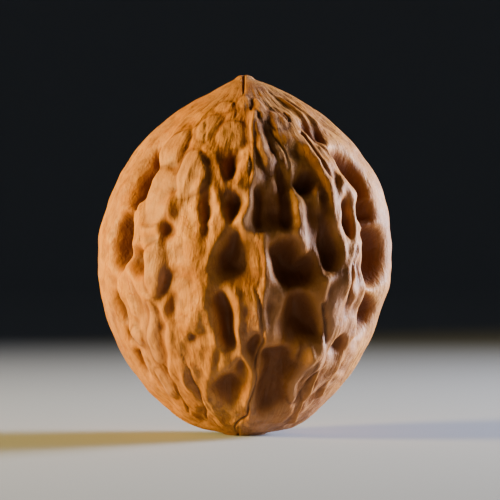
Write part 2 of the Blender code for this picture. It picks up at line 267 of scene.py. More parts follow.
        (1.1, 0.8, 0.6, None, (106, 10.8), (112, 11.4), (117, 10.4), (114, 9), (108, 9.2)),
        (1.3, 0.9, 0.6, None, (-122, 35), (-115, 35.4), (-108, 34.2), (-106, 32.6), (-113, 32), (-120, 33)),
        (2.5, 0.9, 0.8, None, (-125, 30.8), (-118, 31), (-109, 30), (-104, 28), (-104, 25.6), (-110, 24.4),
         (-117, 25.4), (-123, 27), (-127, 29)),
        (1.7, 0.9, 0.7, None, (-122, 22.6), (-114, 23), (-106, 22.6), (-103, 21), (-109, 19.8),
         (-118, 20.4)),
        (2.3, 0.9, 0.8, None, (-126, 18.6), (-119, 19), (-111, 18.2), (-104, 17.2), (-103, 14.8),
         (-108, 13), (-116, 13), (-123, 14.8)),
        (1.2, 0.8, 0.6, None, (-120, 11.4), (-113, 11.8), (-106, 10.8), (-108, 9.4), (-116, 9.2)),
    ),
    "back": (
        (1.1, 1.6, 0.1, 200, (183, 32.6), (188, 33.2), (193, 32), (192, 29.6), (188, 28.4), (184, 29.6)),
        (1.7, 2.0, 0.1, 20, (162, 28.6), (168, 30), (175, 29.4), (178, 27), (176, 24.8), (170, 24),
         (164, 25.2), (160, 27)),
        (2.1, 1.6, 0.4, 0, (183, 26.2), (188, 27), (195, 25.8), (197, 23), (194, 20.8), (187, 20.2),
         (182.6, 22.4)),
        (2.3, 1.6, 0.4, 180, (160, 22), (165, 23.4), (172, 23), (177, 21.6), (178, 18.6), (176.4, 15.8),
         (171, 14.8), (166, 16.2), (164.6, 18.4), (161, 19.6)),
        (1.7, 2.0, 0.1, 30, (183, 16.8), (189, 18), (196, 17), (198.5, 14), (195, 11.6), (188, 11),
         (183, 13)),
        (1.4, 2.2, 0.1, 150, (164, 11.6), (170, 13), (176.5, 12), (177.5, 9), (173, 6.8), (166, 7.2),
         (162, 9.2)),
        (1.0, 2.2, 0.1, None, (184, 8.2), (190, 8.8), (197, 7.4), (196, 4.8), (188, 4), (183, 5.6)),
        (0.9, 1.2, 0.2, 90, (151, 32.4), (156, 33.6), (160, 32.2), (158.5, 29.8), (153.5, 29.2)),
        (1.7, 1.2, 0.3, 160, (145, 26.4), (149, 28.6), (154, 28.2), (157.6, 26), (157, 23.4), (154.6, 21.6),
         (151, 21.8), (149.6, 23.8), (146, 24.4)),
        (1.2, 1.6, 0.1, 200, (148, 17.4), (153, 18.8), (158.6, 17.4), (158, 14.2), (153, 13),
         (148.6, 14.6)),
        (1.0, 1.2, 0.2, None, (133, 29.8), (138, 30.6), (143, 29), (140.6, 26.6), (135, 26.8)),
        (1.3, 1.0, 0.5, 180, (131.5, 21.8), (136, 23), (141, 21.6), (140.4, 19), (135.4, 18),
         (131.6, 19.6)),
        (0.7, 1.4, 0.1, None, (134, 13.6), (139, 14.4), (144, 12.8), (142, 10.8), (136, 10.8)),
        (1.2, 1.4, 0.2, 20, (199.5, 30.4), (204, 31.4), (210.6, 30), (210, 27.4), (204.4, 26.6), (200, 28)),
        (1.9, 1.2, 0.4, 0, (201.4, 23.4), (205, 25), (209.4, 24.2), (212, 22), (213.8, 19), (211, 16.8),
         (207, 17.6), (204.6, 19.6), (201.6, 20.8)),
        (1.0, 1.9, 0.1, 340, (200, 12), (206, 13), (212, 11.4), (210, 9), (203, 8.8)),
        (1.2, 1.0, 0.4, 0, (218, 27), (223, 28.2), (228, 26.2), (226.6, 23.8), (220.4, 23.6)),
        (0.7, 1.4, 0.2, None, (217, 17.6), (222, 18.4), (227, 16.8), (224.6, 14.4), (218.6, 14.8)),
    ),
}

# each pad stands out: rise, width of its edge, then the points round it
pads = {
    "leftCheek": (
        (0.4, 0.68, (-47.5, 30.6), (-42, 31.2), (-35, 30.6), (-32, 28.5), (-33, 26.2), (-36, 25),
         (-40, 24.5), (-44, 24.9), (-46.5, 27), (-48, 29)),
        (0.66, 0.55, (-30, 32.6), (-25, 33.1), (-20, 32.6), (-16.5, 31.2), (-15.8, 29.8), (-18, 28.6),
         (-24, 27.6), (-29, 27.8), (-30.8, 30)),
        (0.5, 0.5, (-49, 33.3), (-44, 34.9), (-38, 35.5), (-33.5, 34.9), (-31.7, 33.5), (-33.3, 32.3),
         (-38, 31.8), (-43, 31.6), (-48, 32)),
        (0.76, 0.6, (-41.6, 21), (-41.4, 18.8), (-39.8, 17.2), (-36, 16.6), (-33.4, 17.1), (-31.8, 19),
         (-32.8, 21), (-37, 22.2)),
        (0.55, 0.61, (-41, 15.8), (-44, 13), (-47.6, 10.2), (-46.5, 8.9), (-41.5, 8.8), (-39.8, 10.5),
         (-38.2, 13.5), (-38.6, 15.5)),
        (0.47, 0.47, (-59, 12), (-56, 12.8), (-52, 12.6), (-50, 12), (-52, 11.2), (-56, 11)),
        (0.38, 0.54, (-54, 6.5), (-52, 7.9), (-47, 8.2), (-44.4, 7), (-44.8, 5.5), (-49, 4.8), (-53, 5.2)),
    ),
    "tip": (
        (0.34, 0.45, (-30.5, 36.6), (-27, 37.4), (-20, 37.4), (-16, 36.7), (-18, 35.2), (-22, 34.4),
         (-27, 34.5), (-30, 35.4)),
        (0.28, 0.6, (-14, 36.4), (-6, 36.6), (-0.8, 36.2), (0, 34.5), (-2, 33.9), (-8, 33.6), (-14, 33.9),
         (-16, 35)),
        (0.22, 0.45, (-6, 39.1), (-2, 39.6), (5, 39.5), (7, 38.7), (4, 38.1), (-3, 38.1), (-6, 38.5)),
        (0.2, 0.45, (-28, 39), (-20, 39.1), (-11.5, 38.8), (-11, 38.1), (-16, 37.8), (-24, 37.9),
         (-29, 38.3)),
        (0.3, 0.5, (10, 39.2), (16, 39.2), (19, 38.2), (17, 37), (12, 36.5), (9.5, 37.2)),
        (0.26, 0.45, (2.6, 37.5), (7, 37.5), (8, 36.2), (6.8, 35), (5, 34.2), (3, 35)),
        (0.26, 0.5, (19.5, 37.6), (24, 37.6), (29.5, 36.9), (27, 35.9), (20, 35.8), (18, 36.4)),
        (0.48, 0.6, (7.6, 36), (9.6, 36.2), (11.2, 35), (13, 33), (13.8, 31.4), (11.4, 30.8), (8.8, 31.2),
         (7.8, 33.4)),
    ),
    "right": (
        (0.75, 0.9, (36.4, 17.4), (39.6, 18.8), (42.4, 18.4), (43.6, 15.5), (43, 12.5), (41.6, 9),
         (38.8, 7.6), (37, 9.4), (38.8, 11.6), (38, 13.6), (35.8, 15)),
        (0.85, 0.8, (28.8, 11.2), (33, 12), (37.6, 11.2), (39, 9.4), (38, 6.6), (35.6, 4.6), (31, 4.6),
         (27.8, 6), (28.4, 8), (27.8, 9.6)),
    ),
    "back": (
        (0.45, 0.68, (158, 35), (164, 36), (169, 34.6), (168, 32), (162, 31.4), (158.6, 33)),
        (0.51, 0.68, (195, 36), (201, 36.6), (207, 35), (205.6, 33), (198, 33)),
        (0.51, 0.68, (216, 22.4), (221, 22.8), (226, 21), (224, 19), (218, 19.4)),
        (0.45, 0.68, (142, 27.4), (146, 27), (145.4, 23.4), (142.4, 23)),
    ),
}

# each line: width, rise (below zero for a groove), how far its lower side spreads (to the right of its
# way if above zero, to the left if below), then the turn and height of the points it runs through
lines = {
    "frontSeam": (
        (0.13, -0.13, 0, (5.4, 38.2), (3.8, 36.6), (3, 35), (2.8, 33.5), (2.8, 31.5), (2.9, 30),
         (2.4, 28.8)),
        (0.14, -0.3, 0, (4.8, 17.1), (6.4, 15), (7.9, 12.7), (8.4, 11.2), (7, 10), (5.6, 8.8), (5.9, 7.6),
         (6.5, 6.6), (5, 5.6), (3.2, 4.5), (2.2, 3.3), (0, 2.6), (-8, 1.6), (-17, 0.5)),
        (0.14, -0.12, 0, (5, 22.4), (6.4, 21), (6.7, 19.4), (6.2, 18), (4.8, 17.1)),
    ),
    "creases": (
        (0.14, -0.18, 0, (13.4, 34.4), (14.8, 33.2), (16.2, 32), (17.8, 30.6)),
        (0.13, -0.05, 0, (-9.5, 38.8), (-7.2, 38), (-6.6, 37.2)),
        (0.14, -0.12, 0, (-38, 36.4), (-35, 35.9), (-31.8, 34.9), (-30.3, 33.8), (-31.6, 32.8),
         (-32, 30.5)),
        (0.13, -0.1, 0, (-21, 34.1), (-23, 35.2), (-26, 36.4), (-31, 37.4), (-34, 36)),
        (0.15, -0.21, 0, (27.5, 37), (30.6, 36.4), (32, 37.4)),
        (0.22, -0.34, 0, (34.5, 35.2), (36, 34), (37, 33), (38.4, 31.2), (40, 30.2)),
        (0.13, -0.1, 0, (9.6, 36.4), (15, 36.5), (19, 35.7)),
        (0.14, -0.15, 0, (16, 35.8), (19, 34), (21, 32), (20.6, 30.6)),
        (0.13, -0.1, 0, (-16, 33.4), (-18.6, 32.8), (-22, 33.5)),
        (0.15, -0.18, 0, (-50.5, 28), (-48.5, 26.2), (-46, 24.4), (-44.4, 22.8)),
        (0.22, -0.34, 0, (45, 13.4), (44.6, 11.4), (43.9, 9.8), (43.4, 8.5)),
        (0.22, -0.34, 0, (45.8, 6.6), (46.6, 5.2), (48, 4), (50.4, 3), (56, 2.2)),
        (0.22, -0.34, 0, (48.6, 21.8), (45.4, 20.4), (44.4, 19), (44.8, 17.4), (46.2, 16.4)),
        (0.16, -0.14, 0, (38.4, 5.4), (42, 4.6), (46, 4.2)),
        (0.14, -0.15, 0, (-29.5, 10), (-27.5, 8), (-27.4, 6), (-31, 3.4), (-40, 2)),
        (0.13, -0.17, 0, (-43.4, 8.2), (-41.6, 7), (-43, 5.4), (-46.5, 3.8), (-51, 3)),
        (0.22, -0.34, 0, (33, 15.8), (35.6, 14.2), (37.8, 12.8), (38.2, 11.4)),
    ),
    "veins": (
        (0.42, 0.3, 0, (6.4, 37.6), (5, 35.6), (4.4, 33.4), (4.5, 31), (3.4, 29)),
        (0.35, 0.24, 0, (8.4, 36.6), (7, 34.6), (6.8, 32.4), (5.8, 30.2)),
        (0.57, 0.3, 0, (3, 29), (2.2, 27.2), (1, 25.4), (-2.6, 24.5), (-6, 24)),
        (0.61, 0.3, 0, (-13, 29.2), (-11.2, 27.5), (-9, 26), (-7, 24.8), (-7.6, 23.8), (-10, 22.8),
         (-13.4, 21), (-14.8, 19.5), (-14, 18), (-16.6, 16.3), (-14.8, 14.5), (-12.8, 12.5), (-11.8, 11),
         (-14.6, 9.6), (-18.4, 7.4), (-21.6, 5.6)),
        (0.5, 0.26, 0, (-15, 31), (-16, 29.6), (-19.8, 28), (-18.4, 26), (-17.4, 24.2), (-18, 22.4),
         (-20, 21.4)),
        (0.46, 0.3, 1.4, (-17.2, 21.6), (-16.6, 19), (-17, 16.6), (-18.2, 14.4), (-20.6, 12.8), (-24, 12.2),
         (-27, 11.6), (-30.4, 10.6), (-31.8, 9.2), (-31, 7), (-32.4, 5.4), (-36, 4.1), (-41, 3.2),
         (-50, 2.3)),
        (0.46, 0.66, -1.2, (-55.5, 20.4), (-52, 19.3), (-48, 18.4), (-45.2, 17.2), (-42, 16.3), (-37, 16),
         (-34.6, 15.2), (-33, 13.8), (-32.6, 12.4), (-34, 10.8), (-37, 8.8), (-40, 7.6)),
        (0.46, 0.5, 0, (-51.8, 28), (-49.8, 26.4), (-47, 24.6), (-45.6, 22.8)),
        (0.5, 0.62, 0, (-30.4, 27.6), (-32, 25.6), (-36, 24.3), (-41, 23.8), (-44.4, 24.2)),
        (0.44, 0.46, 0, (-50, 22.2), (-46, 22.4), (-42, 22.2), (-40.2, 20.8)),
    ),
    "crests": (
        (0.48, 0.43, 1.6, (35, 37), (36.6, 34), (38.6, 32), (39.9, 30.6), (38, 29), (37.4, 27),
         (37.2, 25.2), (38.9, 23.8), (41, 22.4), (40.7, 20.8), (38.6, 19.5), (35.6, 18.4), (33, 17.2),
         (30.4, 16.4), (32, 15.4), (34.4, 14.2), (36.8, 12.8), (37.2, 11.4), (35.6, 10.2), (31.6, 9.6)),
        (0.38, 0.48, 0, (41, 33.6), (42.4, 31.8), (44.6, 30.8), (44.4, 29.2), (43.2, 27.6), (41.6, 26.4),
         (39.6, 24.8)),
        (0.41, 0.48, 0, (45.2, 30.6), (47.4, 29), (49, 27.4), (49.6, 25.8), (49, 24.2), (48.4, 22.6)),
        (0.34, 0.58, 0, (48.4, 22.6), (46, 21.2), (43.2, 20), (42.4, 18.6), (43, 17), (44.6, 15.6),
         (44.6, 14), (44, 12.4), (43.2, 10.8), (42.4, 9.4), (41.7, 8.4), (43.4, 7), (44.6, 5.6), (46, 4.2),
         (48, 3), (53, 2)),
        (0.31, 0.45, 0, (52, 22.6), (48.6, 20.8), (46.4, 19.6), (46.2, 18), (48, 16.8), (50, 16.6)),
        (0.43, 0.43, 0, (47, 33.4), (48, 32), (49.8, 30.6), (52.6, 28.6), (55.6, 28.2), (53, 26.9),
         (50.4, 25.7), (54, 24.7), (59.6, 24.4), (55.2, 23.1), (54.2, 21.6), (55.2, 20.4), (54.4, 19),
         (54.8, 17.6), (57, 16.2), (58, 14.8), (60.2, 13.4), (60.4, 12), (56.4, 11.4), (56, 10),
         (55.6, 8.6), (58, 7), (63, 5)),
        (0.43, 0.24, 0, (20.4, 29.2), (23.6, 27.6), (24.6, 26.2), (22.8, 24.6), (21.8, 23.5), (24, 22.2),
         (25.4, 21.2), (29.6, 21.2), (31.6, 20.6)),
        (0.41, 0.41, 1.4, (33, 36), (33.4, 33.6), (35, 31.8), (36, 30.4)),
        (0.46, 0.3, 0, (28, 11.6), (26.4, 10.4), (28.4, 9), (27.6, 7.4), (26.6, 6.2), (29.6, 4.8),
         (34, 3.9), (41, 3.1)),
        (0.46, 0.2, 0, (4.4, 23.4), (8, 22.4), (9, 21), (8.8, 19.4), (9.2, 18), (8.4, 17.2), (6.6, 16.2)),
        (0.32, 0.3, 0, (5.6, 17), (7.2, 15), (8.8, 13), (9.3, 11.6), (8.4, 10.2)),
        (0.46, 0.22, 0, (10.4, 18.2), (13.6, 17.3), (15.4, 16.6), (14.8, 14.6), (12.8, 12.8), (12.2, 11.4),
         (9.6, 10.3)),
        (0.38, 0.3, 0, (-1, 10.8), (-3.4, 9.7), (-7, 8.7), (-12, 8.3)),
        (0.41, 0.42, 0, (-0.6, 9.8), (2, 9), (4.2, 7.8), (4.4, 6.6), (2.4, 5.4), (0.8, 4.2)),
        (0.27, 0.18, 0, (-2.6, 10.6), (1, 11.4), (4.6, 12.4), (7, 13)),
        (0.38, 0.26, 0, (-3.4, 17.2), (-2, 14.6), (-2.6, 12.4), (-2.4, 10.8)),
        (0.35, 0.24, 0, (57.5, 10.6), (63, 9.9), (70, 9.7)),
        (0.35, 0.24, 0, (57, 9.4), (63, 8.7), (70, 8.4)),
        (0.35, 0.24, 0, (58, 8), (64, 7.3), (72, 7)),
        (0.32, 0.22, 0, (52, 33.8), (56, 35.8), (58, 37.4), (58, 39)),
        (0.35, 0.26, 0, (47, 34.2), (49.6, 36), (50.6, 38), (50, 39.4)),
    ),
    "rimEdge": (
        (0.34, 0.26, 0, (-44, 36), (-47.4, 34), (-45.8, 32), (-45.8, 30.2), (-48.4, 28.2), (-53.6, 26.6),
         (-55, 25.8), (-51.8, 24.8), (-50.8, 23), (-51.6, 21.2), (-54.4, 19.6), (-57, 18), (-59.2, 16),
         (-59.4, 14), (-60, 12), (-59.6, 10), (-61.4, 8)),
    ),
    "backSeam": (
        (0.16, -0.26, 0, (180, 40.4), (178, 36), (181, 32), (178.6, 27), (181, 22), (179.4, 17), (181, 12),
         (178, 7), (180, 3), (187, 0.5)),
    ),
    "backVeins": (
        (0.46, 0.32, 0, (175, 37), (176.5, 33), (174.5, 30)),
        (0.54, 0.32, 0, (186, 34), (182.6, 28), (182, 24), (179, 21), (180.6, 17), (181, 13), (179, 9),
         (182, 5)),
    ),
    "backCrests": (
        (0.54, 0.4, 1.4, (148, 37), (149, 33), (147, 29), (144.6, 25), (143.6, 21), (146.4, 18),
         (145.4, 13), (148, 8), (144, 4)),
        (0.51, 0.36, 0, (163, 36), (160.6, 31), (159.6, 28), (159, 24), (160.4, 19), (160.4, 14),
         (161.4, 9), (158, 4)),
        (0.54, 0.4, -1.4, (216, 37), (214, 32), (214.6, 27), (215.6, 22), (215, 17), (215, 12), (211, 6)),
        (0.49, 0.34, 0, (197, 36), (196.4, 31), (198, 27), (199.4, 22), (200, 17), (199, 12), (199, 7)),
    ),
    "backEdges": (
        (0.49, 0.4, 0, (-130, 36), (-129.4, 32), (-130, 28), (-127, 24), (-127.4, 19), (-125.4, 14),
         (-127, 10), (-130, 6)),
        (0.49, 0.4, 0, (128, 36), (128, 32), (129, 28), (126.6, 24), (126, 19), (124.4, 14), (125.4, 9),
         (129, 5)),
    ),
    "backCreases": (
        (0.15, -0.3, 0, (170, 38.6), (166, 36), (164.4, 33)),
        (0.15, -0.3, 0, (192, 38.4), (194.6, 35), (195, 32)),
        (0.15, -0.28, 0, (150, 37), (153, 34.6), (152, 32)),
        (0.15, -0.28, 0, (210, 37.6), (209, 34), (212, 31)),
        (0.14, -0.28, 0, (145, 16), (142.6, 12), (145, 7), (140, 3)),
        (0.14, -0.28, 0, (217, 14), (214.6, 9), (219, 4)),
        (0.14, -0.26, 0, (132, 16), (130, 12), (133, 8)),
        (0.14, -0.26, 0, (230, 20), (232, 15), (229, 10)),
    ),
}


# half width of the body at each height: a full ellipse below the waist, a pointed one above it, and the
# beak and the foot joined on as a fourth-power sum
def outlineRadius(height):
    tall = boxHigh[2] - boxLow[2]
    bodyRadius = boxHigh[0] - shell["rimRise"]
    waist = shell["waistHeight"]
    below = np.clip((waist - height) / waist, 0, 1)
    above = np.clip((height - waist) / (tall - shell["shoulderDrop"] - waist), 0, 1)
    lower = (1 - below**2) ** shell["lowerFullness"]
    upper = (1 - above ** shell["upperSquareness"]) ** shell["upperFullness"]
    body = bodyRadius * np.where(height < waist, lower, upper)
    beakFoot = tall - shell["beakHeight"]
    upBeak = np.clip((height - beakFoot) / shell["beakHeight"], 0, 1)
    beak = shell["beakRadius"] * np.sqrt(1 - upBeak**3) * smoothStep(waist, beakFoot, height)
    foot = shell["footRadius"] * (1 - smoothStep(0, waist, height))
    power = shell["joinPower"]
    return (body**power + beak**power + foot**power) ** (1 / power)


# the outline as fine lists of distance along it, radius and height, from the foot's centre to the tip
def outlineTable():
    tall = boxHigh[2] - boxLow[2]
    heights = tall / 2 * (1 - np.cos(np.linspace(0, math.pi, 4000)))
    radii = np.concatenate([[0.0], outlineRadius(heights)])
    heights = np.concatenate([[0.0], heights])
    steps = np.hypot(np.diff(radii), np.diff(heights))
    return np.concatenate([[0.0], np.cumsum(steps)]), radii, heights


outlineAlong, outlineRadii, outlineHeights = outlineTable()
flatness = boxHigh[1] / (boxHigh[0] - shell["rimRise"])  # depth of the body over its width


# a point of the plain body for each turn in degrees and each distance along the outline: the outline's
# radius carried round an ellipse
def bodyPoints(turns, along):
    angles = np.radians(turns)
    radii = np.interp(along, outlineAlong, outlineRadii)
    heights = np.interp(along, outlineAlong, outlineHeights)
    return np.stack([radii * np.sin(angles), -radii * np.cos(angles) * flatness, heights], axis=-1)


# distance along the outline at which the body reaches each height
def alongAtHeight(heights):
    return np.interp(heights, outlineHeights[1:], outlineAlong[1:])


# unit vectors round the body, up it, and out of it
def bodyDirections(turns, along):
    across = bodyPoints(turns + 0.5, along) - bodyPoints(turns - 0.5, along)
    up = bodyPoints(turns, along + 0.05) - bodyPoints(turns, along - 0.05)
    across /= np.linalg.norm(across, axis=-1)[..., None]
    up /= np.linalg.norm(up, axis=-1)[..., None]
    outward = np.cross(across, up)
    return across, up, outward / np.linalg.norm(outward, axis=-1)[..., None]


# points along a smooth curve through the given points, eight to a stretch: a Catmull-Rom spline, the
# cubic that leaves each point in the direction from the one before it to the one after it
def smoothCurve(points, closed):
    if closed:
        guides = np.concatenate([points[-1:], points, points[:2]])
    else:
        guides = np.concatenate([[2 * points[0] - points[1]], points, [2 * points[-1] - points[-2]]])
    a, b, c, d = (guides[first:len(guides) - 3 + first, None] for first in range(4))
    share = np.linspace(0, 1, 9)[:-1, None]
    bend = 2 * a - 5 * b + 4 * c - d
    twist = 3 * b - a - 3 * c + d
    curve = (0.5 * (2 * b + (c - a) * share + bend * share**2 + twist * share**3)).reshape(-1, 2)
    return curve if closed else np.concatenate([curve, points[-1:]])


# distance from each point to the nearest of a curve's short straight runs, and the side it lies on
# (above zero to the left of the curve's way), for flat points
def curveDistance(flat, curve, closed):
    ends = np.roll(curve, -1, axis=0) if closed else curve[1:]
    nearest = np.full(len(flat), 99.0)
    side = np.zeros(len(flat))
    for start, end in zip(curve, ends):
        run = end - start
        away = flat - start
        share = np.clip(away @ run / (run @ run + 1e-12), 0, 1)
        gap = away - share[:, None] * run
        distance = np.hypot(gap[:, 0], gap[:, 1])
        closer = distance < nearest
        nearest[closer] = distance[closer]
        side[closer] = np.sign(run[0] * away[closer, 1] - run[1] * away[closer, 0])
    return nearest, side


# whether flat points lie inside a closed curve, by counting the runs that a ray to the right crosses
def insideCurve(flat, curve):
    crossings = np.zeros(len(flat), int)
    for (x1, y1), (x2, y2) in zip(curve, np.roll(curve, -1, axis=0)):
        spans = (y1 > flat[:, 1]) != (y2 > flat[:, 1])
        crossings += spans & (flat[:, 0] < x1 + (flat[:, 1] - y1) * (x2 - x1) / (y2 - y1 + 1e-12))
    return crossings % 2 == 1


# body points for rows of turn and height
def spotPoints(spots):
    turns, heights = np.array(spots, float).T
    return bodyPoints(turns, alongAtHeight(heights))


# a mark laid flat on the tangent plane at its middle: which points lie near it, those points in the
# plane's two directions, and the mark's own points there
def layFlat(points, spots, reach):
    turns, heights = np.array(spots, float).T
    turn, along = turns.mean(), alongAtHeight(heights.mean())
    centre = bodyPoints(turn, along)
    axes = np.stack(bodyDirections(turn, along))
    marks = (spotPoints(spots) - centre) @ axes[:2].T
    size = np.abs(marks).max() + reach
    close = np.flatnonzero(np.linalg.norm(points - centre, axis=1) < size * 1.25)
    local = (points[close] - centre) @ axes.T
    facing = local[:, 2] > -0.45 * size - 1.0
    return close[facing], local[facing, :2], marks


# how far each nearby point lies inside a closed mark, below zero outside it, and where the points and
# the mark's edge lie on the plane
def insideDistance(points, spots, reach=1.5):
    close, flat, marks = layFlat(points, spots, reach)
    curve = smoothCurve(marks, True)
    distance, _ = curveDistance(flat, curve, True)
    return close, np.where(insideCurve(flat, curve), distance, -distance), flat, curve


# depth of all the hollows. Share runs from 0 at a hollow's edge to 1 at the foot of its wall, where a
# soft hollow's wall reaches to its middle and a noise makes it uneven. The depth there is the full one
# times 1 - (1 - share)^1.7, and less towards the side that the floor rises to. Overlapping hollows are
# joined as a fourth-power sum, so that they don't add up
def hollowRelief(points):
    depths = np.zeros(len(points))
    uneven = 1 + 0.4 * gradientNoise(points, 2.4, 6.6)
    for depth, wall, crisp, gentle, *spots in itertools.chain(*hollows.values()):
        close, inside, flat, curve = insideDistance(points, spots)
        wall = min(max(wall, (1 - crisp) * 0.95 * inside.max()), inside.max())
        share = np.clip((inside + 0.15) / (wall + 0.15) * uneven[close], 0, 1)
        fall = depth * (1 - (1 - share) ** 1.7)
        if gentle is not None:
            way = (math.cos(math.radians(gentle)), math.sin(math.radians(gentle)))
            edge = curve @ way
            fall *= 0.12 + 0.88 * smoothStep(-0.05, 0.85, (edge.max() - flat @ way) / np.ptp(edge))
        depths[close] += fall**4
    return depths**0.25


# rise of the pads: an S-curve over the edge up to a flat top, plus a low bell just inside the edge as a
# lip, less a low bell just outside it as a groove; and a narrow bell on each pad's edge for its colour
def padRelief(points):
    rises = np.zeros(len(points))
    edges = np.zeros(len(points))
    for rise, edge, *spots in itertools.chain(*pads.values()):
        close, inside, _, _ = insideDistance(points, spots)
        top = smoothStep(-edge * 0.5, edge * 0.8, inside)
        lip = 0.125 * bell(inside - 0.4, 0.3)
        groove = 0.075 * bell(inside + edge * 0.6, 0.25)
        rises[close] += rise * (top + lip - groove)
        edges[close] = np.maximum(edges[close], bell(inside + edge * 0.4, 0.2))
    return rises, edges


# rise of the raised veins and depth of the fine grooves: a bell curve across each route, which on one
# side may fall away more slowly; each route is taken a short stretch at a time, laid flat
def lineRelief(points):
    veins = np.zeros(len(points))
    grooves = np.zeros(len(points))
    for width, rise, spread, *spots in itertools.chain(*lines.values()):
        route = smoothCurve(np.array(spots, float), False)
        target = veins if rise > 0 else grooves
        for start in range(0, len(route) - 1, 12):
            reach = 3 * width + 2 * abs(spread)
            close, flat, stretch = layFlat(points, route[start:start + 13], reach)
            distance, side = curveDistance(flat, stretch, False)
            profile = bell(distance, width)
            if spread:
                slow = bell(distance, abs(spread), 1.5)
                profile = np.where(side * spread < 0, np.maximum(profile, slow), profile)
            target[close] = np.maximum(target[close], abs(rise) * profile)
    return veins, grooves


# neighbouring rows and columns averaged a number of times, closed round the columns
def blurGrid(values, times):
    values = values.reshape(shell["rows"] - 1, shell["columns"])
    for _ in range(times):
        values = (values + np.roll(values, 1, axis=1) + np.roll(values, -1, axis=1)) / 3
        padded = np.pad(values, ((1, 1), (0, 0)), mode="edge")
        values = (padded[:-2] + padded[1:-1] + padded[2:]) / 3
    return values.ravel()


# how far each point looks aside for its marks: smooth noise in each direction, more of it at the back
def markWander(body):
    wander = np.zeros_like(body)
    for size, reach in shell["warp"]:
        for axis in range(3):
            wander[:, axis] += reach * gradientNoise(body, size, shift=11.3 * (axis + 1))
    return wander * (1 + shell["backWander"] * smoothStep(0.0, 7.0, body[:, 1])[:, None])


# wrinkles: narrow crests where a noise stretched up the shell crosses zero, and finer ones between them
def wrinkleRelief(flow):
    stretched = flow * (1.0, 1.0, 0.5)
    crests = 1 - np.minimum(np.abs(gradientNoise(stretched, 4.2)) * 2.4, 1)
    finer = 1 - np.minimum(np.abs(gradientNoise(stretched, 1.8, 5.2)) * 3.0, 1)
    return shell["wrinkle"] * (crests**1.5 + 0.3 * finer**2)


# cracks between plates near the tip, from 0 to 1: the places as far from one random spot as from another
def tipCracks(flow, height):
    nearest, second = cellDistances(flow * (1.0, 1.0, 0.75), shell["plateSize"], 2.7)
    return (1 - smoothStep(0.0, 0.07, second - nearest)) * smoothStep(33, 37, height)


# depth of the folds that run down from the tip: a bell across each fold's turn, which a noise swings
def tipFolds(turns, flow, height):
    swing = 6 * gradientNoise(flow, 6.0, 9.1)
    folds = np.zeros(len(turns))
    for turn in shell["folds"]:
        folds = np.maximum(folds, bell((turns - turn + 180 + swing) % 360 - 180, 2.6))
    return shell["foldDepth"] * folds * band((30, 38, 39.6, 41), height)


# the points with the shoulders lowered, and drawn in high on the left and low on the right
def settled(points):
    height = points[:, 2]
    radius = np.hypot(points[:, 0], points[:, 1])
    left = -points[:, 0] / np.maximum(radius, 0.001)
    drop = smoothStep(*shell["slumpRadii"], radius) * smoothStep(*shell["slumpHeights"], height)
    sunk = (shell["slump"] + shell["leftSlump"] * left) * drop
    inward = shell["leftTrim"] * band(shell["leftTrimHeights"], height) * smoothStep(0.3, 1.0, left)
    inward -= shell["rightTrim"] * band(shell["rightTrimHeights"], height) * smoothStep(0.3, 1.0, -left)
    return points + np.stack([inward, np.zeros(len(points)), -sunk], axis=1)


